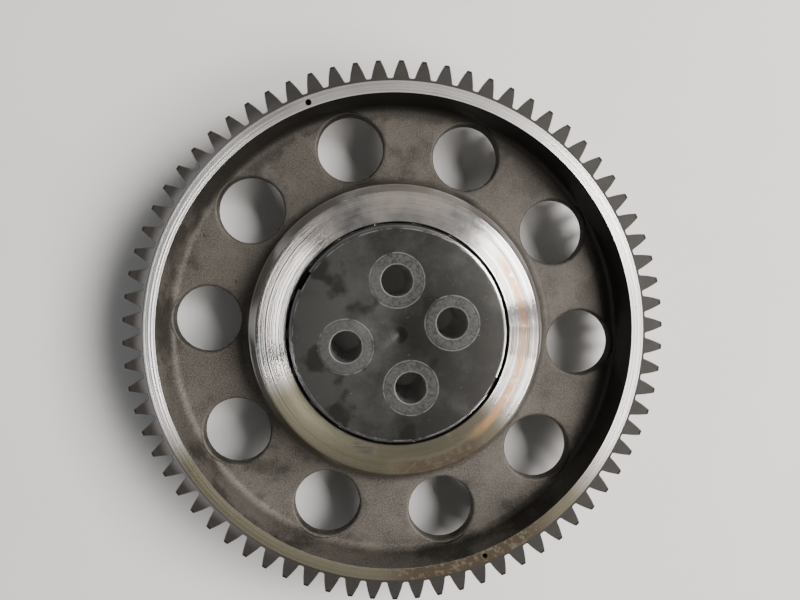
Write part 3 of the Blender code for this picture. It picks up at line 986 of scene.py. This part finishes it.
def cage_sector(side):
    """Open strip of one bar with half a pocket on each side, its corners rounded."""
    half_step = pi / roller_count
    pocket_round = 1.2 * MM
    bend = pocket_round / cage_outer
    low, high = cage_levels[1], cage_levels[2]
    edge = [(bar_half_angle + bend * (1 - cos(k * pi / 8)), low + pocket_round * (1 - sin(k * pi / 8)))
            for k in range(5)][::-1]
    edge += [(angle, low + high - height) for angle, height in reversed(edge)]
    bm = bmesh.new()
    layers = []
    for radius in (cage_inner, cage_outer):
        def at(angle, height, radius=radius):
            return bm.verts.new((radius * cos(angle), radius * sin(angle), middle_z + side * height))
        right = [at(-angle, height) for angle, height in edge]
        left = [at(angle, height) for angle, height in edge]
        ends = [[at(angle, height) for height in cage_levels] for angle in (-half_step, half_step)]
        rims = [[at(angle, height) for angle in (-bar_half_angle - bend, bar_half_angle + bend)]
                for height in (cage_levels[0], cage_levels[3])]
        layers.append((right, left, ends, rims))
        bm.faces.new(right + left[::-1])
        for which, corner in ((0, 0), (1, -1)):
            outer_pair = (0, 1) if corner == 0 else (3, 2)
            bm.faces.new((rims[which][0], rims[which][1], left[corner], right[corner]))
            bm.faces.new((ends[0][outer_pair[0]], rims[which][0], right[corner], ends[0][outer_pair[1]]))
            bm.faces.new((rims[which][1], ends[1][outer_pair[0]], ends[1][outer_pair[1]], left[corner]))
    inner, outer = layers
    for strip in (0, 1):
        for i in range(len(edge) - 1):
            bm.faces.new((inner[strip][i], inner[strip][i + 1], outer[strip][i + 1], outer[strip][i]))
        for corner, level in ((0, 1), (-1, 2)):
            bm.faces.new((inner[strip][corner], inner[2][strip][level],
                          outer[2][strip][level], outer[strip][corner]))
    for which, level in ((0, 0), (1, 3)):
        chain = [(sheet[2][0][level], *sheet[3][which], sheet[2][1][level]) for sheet in (inner, outer)]
        for i in range(3):
            bm.faces.new((chain[0][i], chain[0][i + 1], chain[1][i + 1], chain[1][i]))
    mesh = bpy.data.meshes.new("cage_sector")
    bm.to_mesh(mesh)
    bm.free()
    return mesh


def cage_mesh(name, side):
    tree = ring_tree("ring_of_pockets_" + name, [cage_steel])
    whole = bmesh.new()
    whole.from_mesh(ring_of(cage_sector(side), tree, roller_count, pi / roller_count, seam_weld))
    return mesh_of(whole, name, [cage_steel])


cage_steel = cage_finish()
show("front_cage", cage_mesh("front_cage", 1), "cage_front", ["cage_front"])
show("rear_cage", cage_mesh("rear_cage", -1), "cage_rear", ["cage_rear"])

# ---- Rollers ------------------------------------------------------------------------------------
# Two rows of eighteen short cylindrical rollers of ground and lapped bearing steel, slightly
# crowned towards their ends. Each one turns in its own pocket.

roller_radius = 6.8 * MM
roller_half_length = 10.55 * MM
roller_pitch = 61.0 * MM
row_height = 12.75 * MM
roller_crown = 0.03 * MM


def roller_finish():
    """Lapped bearing steel, nearly mirror-like, with a faint grain and a breath of oil."""
    finish = Finish("lapped_rollers")
    film = finish.noise(4 * MM, detail=3.0)
    grain = finish.noise(0.25 * MM, detail=1.0)
    steel = finish.mix(film, (0.66, 0.65, 0.63), (0.78, 0.77, 0.75))
    height = finish.coordinate(2) - middle_z
    grime = finish.ramp(abs(height), row_height + 10.3 * MM, row_height + 10.45 * MM)
    finish.feed("Base Color", finish.mix(grime, steel, (0.014, 0.013, 0.011)))
    finish.feed("Metallic", 1.0 - grime * 0.8)
    finish.feed("Roughness", 0.09 + film * 0.1 + grime * 0.4)
    finish.feed("Normal", finish.bump(grain, 0.003 * MM))
    return finish.material


roller_steel = roller_finish()
end_z = roller_half_length
half = [(roller_radius - roller_crown * t * t, end_z * t) for t in (0.0, 0.5, 0.8, 0.93)]
half += [(roller_radius - 0.25 * MM, end_z - 0.12 * MM), (roller_radius - 0.6 * MM, end_z),
         (roller_radius * 0.45, end_z), (roller_radius * 0.38, end_z - 0.25 * MM), (0.0, end_z - 0.25 * MM)]
roller_profile = [(Vector((radius, -height)), 0) for radius, height in half[:0:-1]]
roller_profile += [(Vector((radius, height)), 0) for radius, height in half]
for row, side in (("front", 1), ("rear", -1)):
    for k in range(roller_count):
        angle = 2 * pi * k / roller_count
        bm = turned(bmesh.new(), roller_profile, 48, False)
        place = (roller_pitch * cos(angle), roller_pitch * sin(angle), middle_z + side * row_height)
        bmesh.ops.translate(bm, verts=bm.verts, vec=place)
        node = f"roller_{row}_{k + 1:02d}"
        show(node + "_ground", mesh_of(bm, node, [roller_steel]), node, [node])
